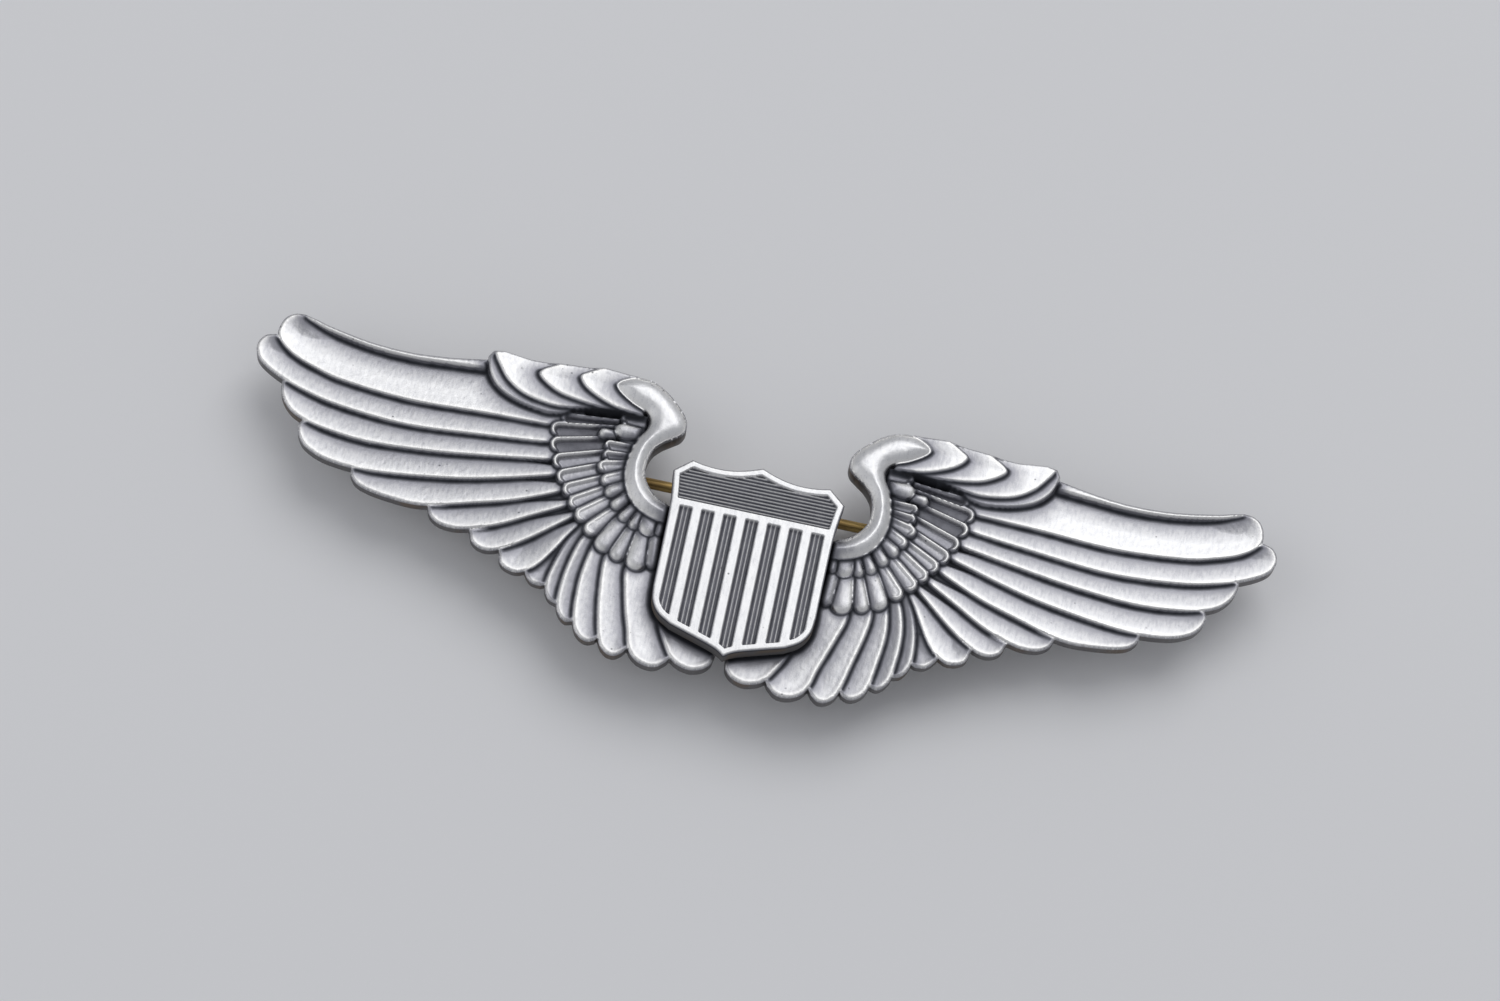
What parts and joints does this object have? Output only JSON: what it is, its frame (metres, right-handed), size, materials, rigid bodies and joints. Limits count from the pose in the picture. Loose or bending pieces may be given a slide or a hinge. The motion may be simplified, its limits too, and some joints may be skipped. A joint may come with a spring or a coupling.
{
  "type": "pilot wings pin",
  "caption": "Feathered wings badge with a raised shield, worn on cloth by a hinged pin and a rotating safety catch behind.",
  "frame": {"origin": "on the surface that the pin lies on, face up, under the middle of its outline", "axes": "+X along the span, towards the wing on the right of the face; +Y towards the wings' upper edge; +Z out of the face"},
  "size_m": [0.0762, 0.0219, 0.006],
  "materials": {
    "antiqued_silver": "antiqued: satin ridges, near-black patina in the grooves",
    "shield_silver": "antiqued: bright brushed rim and bars, dark recesses",
    "findings_silver": "satin, lightly tarnished",
    "solder": "dull grey",
    "brass": "aged, drawn wire"
  },
  "bodies": {
    "badge": {"wings": "antiqued_silver", "shield": "shield_silver", "shield_solder": "solder", "hinge_patch": "findings_silver", "hinge_solder": "solder", "hinge_bracket": "findings_silver", "hinge_rivet": "findings_silver", "catch_patch": "findings_silver", "catch_solder": "solder", "catch_housing": "findings_silver"},
    "stem": {"pin_stem": "brass"},
    "rotor": {"catch_rotor": "brass"}
  },
  "joints": [
    {"name": "stem_swing", "type": "hinge", "parent": "badge", "child": "stem", "pos_m": [-0.019, 0.00438, 0.00153], "axis": [0, 1, 0], "range_deg": [0, 100]},
    {"name": "catch_turn", "type": "hinge", "parent": "badge", "child": "rotor", "pos_m": [0.019, 0.00438, 0.00153], "axis": [1, 0, 0], "range_deg": [0, 100]}
  ]
}
